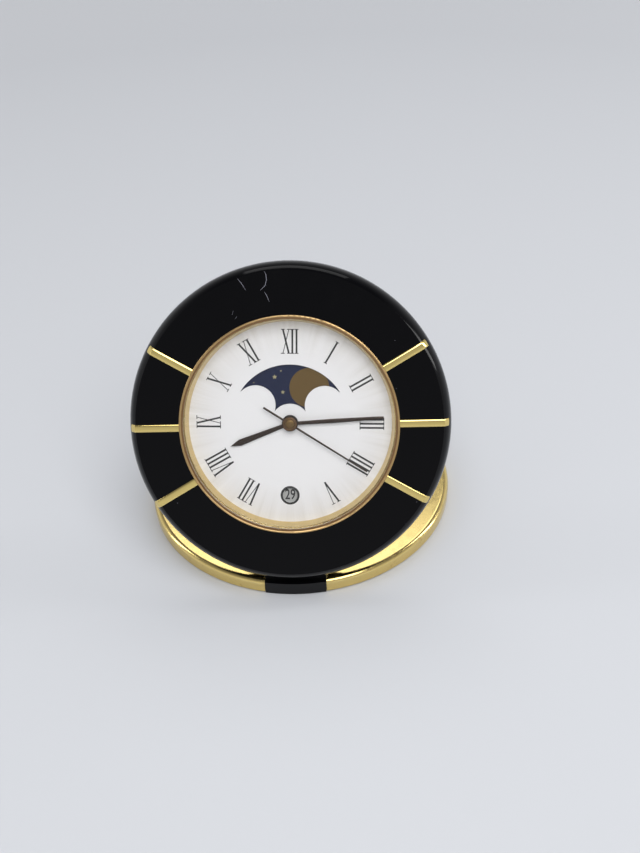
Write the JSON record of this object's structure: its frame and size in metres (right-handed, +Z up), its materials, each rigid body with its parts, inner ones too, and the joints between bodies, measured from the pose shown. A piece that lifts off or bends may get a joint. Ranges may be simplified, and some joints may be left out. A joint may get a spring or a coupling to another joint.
{
  "type": "folding desk clock",
  "caption": "Folding desk clock: a round black lacquered head with gilt bars, date window and moon phase leans back on a round gilt foot.",
  "frame": {"origin": "centre of the foot, on the table", "axes": "+Z up; the dial looks towards -Y and upwards; +X to the reader's right"},
  "size_m": [0.0784, 0.0804, 0.0714],
  "materials": {
    "gilt": "polished, gold plated",
    "gilt_satin": "fine turned, gold plated",
    "black_lacquer": "high gloss lacquer over metal",
    "black_block": "satin black",
    "bronzed": "dark bronzed and polished",
    "dial_silver": "silvered, fine rayed brushing",
    "printed_disc": "deep blue enamel print",
    "printed_ring": "grey print",
    "steel": "turned steel",
    "movement_brass": "plain brass",
    "glass": "clear mineral glass",
    "rubber": "dark brown seal",
    "black_plastic": "fine grained moulding",
    "white_plastic": "natural moulding",
    "flock": "short black flock",
    "felt": "pressed felt",
    "copper": "enamelled copper wire",
    "board_green": "lacquered laminate"
  },
  "bodies": {
    "foot": {"foot_shell": "gilt", "foot_pad": "felt", "recess_lining": "flock", "hinge_block": "black_block", "hinge_pin": "steel", "hinge_washers": "steel", "hinge_screws": "steel"},
    "head": {"lacquered_case": "black_lacquer", "inlay_bar_1": "gilt", "inlay_bar_2": "gilt", "inlay_bar_3": "gilt", "inlay_bar_4": "gilt", "inlay_bar_5": "gilt", "inlay_bar_6": "gilt", "bezel": "gilt", "crystal_gasket": "rubber", "crystal": "glass", "rehaut_ring": "gilt_satin", "dial": "dial_silver", "main_plate": "movement_brass", "train_bridge": "movement_brass", "bridge_screws": "steel", "movement_holder": "white_plastic", "stator": "steel", "coil_core": "steel", "coil_winding": "copper", "circuit_board": "board_green", "quartz_can": "steel", "battery": "steel", "battery_contact": "steel", "rear_housing": "black_plastic", "housing_screws": "steel", "corrector_springs": "steel"},
    "second": {"second_wheel": "movement_brass", "second_hand": "bronzed", "hand_cap": "bronzed"},
    "rotor": {"rotor": "steel"},
    "step_wheel": {"step_wheel": "movement_brass"},
    "third_wheel": {"third_wheel": "movement_brass"},
    "centre_wheel": {"centre_wheel": "movement_brass"},
    "minute": {"cannon_pinion": "steel", "minute_hand": "bronzed"},
    "hour": {"hour_wheel": "movement_brass", "hour_hand": "bronzed"},
    "minute_wheel": {"minute_wheel": "movement_brass"},
    "day_wheel": {"day_wheel": "movement_brass"},
    "date_ring": {"date_ring": "printed_ring"},
    "moon_disc": {"moon_disc": "printed_disc"},
    "setting_knob": {"setting_knob": "gilt_satin"},
    "date_corrector": {"date_corrector": "steel"},
    "moon_corrector": {"moon_corrector": "steel"},
    "battery_cover": {"battery_cover": "black_plastic"}
  },
  "joints": [
    {"name": "head_fold", "type": "hinge", "parent": "foot", "child": "head", "pos_m": [0, -0.0353, 0.006], "axis": [-1, 0, 0], "range_deg": [0, 61]},
    {"name": "second_turn", "type": "hinge", "parent": "head", "child": "second", "pos_m": [0, -0.01718, 0.03632], "axis": [0, 0.8746, -0.4848], "continuous": true},
    {"name": "rotor_turn", "type": "hinge", "parent": "head", "child": "rotor", "pos_m": [0.00713, -0.01456, 0.04105], "axis": [0, 0.8746, -0.4848], "continuous": true},
    {"name": "step_turn", "type": "hinge", "parent": "head", "child": "step_wheel", "pos_m": [0.00341, -0.01521, 0.03987], "axis": [0, 0.8746, -0.4848], "continuous": true},
    {"name": "third_turn", "type": "hinge", "parent": "head", "child": "third_wheel", "pos_m": [-0.0054, -0.01749, 0.03649], "axis": [0, 0.8746, -0.4848], "continuous": true},
    {"name": "centre_turn", "type": "hinge", "parent": "head", "child": "centre_wheel", "pos_m": [0, -0.01779, 0.03666], "axis": [0, 0.8746, -0.4848], "continuous": true},
    {"name": "minute_turn", "type": "hinge", "parent": "head", "child": "minute", "pos_m": [0, -0.01875, 0.03719], "axis": [0, 0.8746, -0.4848], "continuous": true},
    {"name": "minute_wheel_turn", "type": "hinge", "parent": "head", "child": "minute_wheel", "pos_m": [0.0048, -0.01875, 0.03719], "axis": [0, 0.8746, -0.4848], "continuous": true},
    {"name": "hour_turn", "type": "hinge", "parent": "head", "child": "hour", "pos_m": [0, -0.0191, 0.03738], "axis": [0, 0.8746, -0.4848], "continuous": true},
    {"name": "day_wheel_turn", "type": "hinge", "parent": "head", "child": "day_wheel", "pos_m": [-0.006, -0.01945, 0.03758], "axis": [0, 0.8746, -0.4848], "continuous": true},
    {"name": "date_ring_turn", "type": "hinge", "parent": "head", "child": "date_ring", "pos_m": [0, -0.01994, 0.03784], "axis": [0, 0.8746, -0.4848], "continuous": true},
    {"name": "moon_disc_turn", "type": "hinge", "parent": "head", "child": "moon_disc", "pos_m": [0, -0.01994, 0.03784], "axis": [0, 0.8746, -0.4848], "continuous": true},
    {"name": "setting_knob_turn", "type": "hinge", "parent": "head", "child": "setting_knob", "pos_m": [0.0096, -0.01574, 0.03552], "axis": [0, 0.8746, -0.4848], "continuous": true},
    {"name": "date_corrector_push", "type": "slide", "parent": "head", "child": "date_corrector", "axis": [0, -0.8746, 0.4848], "range_m": [0, 0.0006], "stiffness_N_per_m": 400, "springref_m": -0.0005},
    {"name": "moon_corrector_push", "type": "slide", "parent": "head", "child": "moon_corrector", "axis": [0, -0.8746, 0.4848], "range_m": [0, 0.0006], "stiffness_N_per_m": 400, "springref_m": -0.0005},
    {"name": "battery_cover_turn", "type": "hinge", "parent": "head", "child": "battery_cover", "pos_m": [-0.009, -0.02129, 0.02488], "axis": [0, 0.8746, -0.4848], "range_deg": [0, 45]}
  ],
  "couplings": [
    {"joint": "rotor_turn", "follows": "second_turn", "ratio": 30},
    {"joint": "step_turn", "follows": "second_turn", "ratio": -3},
    {"joint": "third_turn", "follows": "second_turn", "ratio": -0.125},
    {"joint": "centre_turn", "follows": "second_turn", "ratio": 0.016667},
    {"joint": "minute_wheel_turn", "follows": "minute_turn", "ratio": -0.33333},
    {"joint": "hour_turn", "follows": "minute_turn", "ratio": 0.083333},
    {"joint": "day_wheel_turn", "follows": "minute_turn", "ratio": -0.041667},
    {"joint": "date_ring_turn", "follows": "minute_turn", "ratio": -0.0013441},
    {"joint": "moon_disc_turn", "follows": "minute_turn", "ratio": 0.00070621},
    {"joint": "setting_knob_turn", "follows": "minute_turn", "ratio": 1}
  ]
}
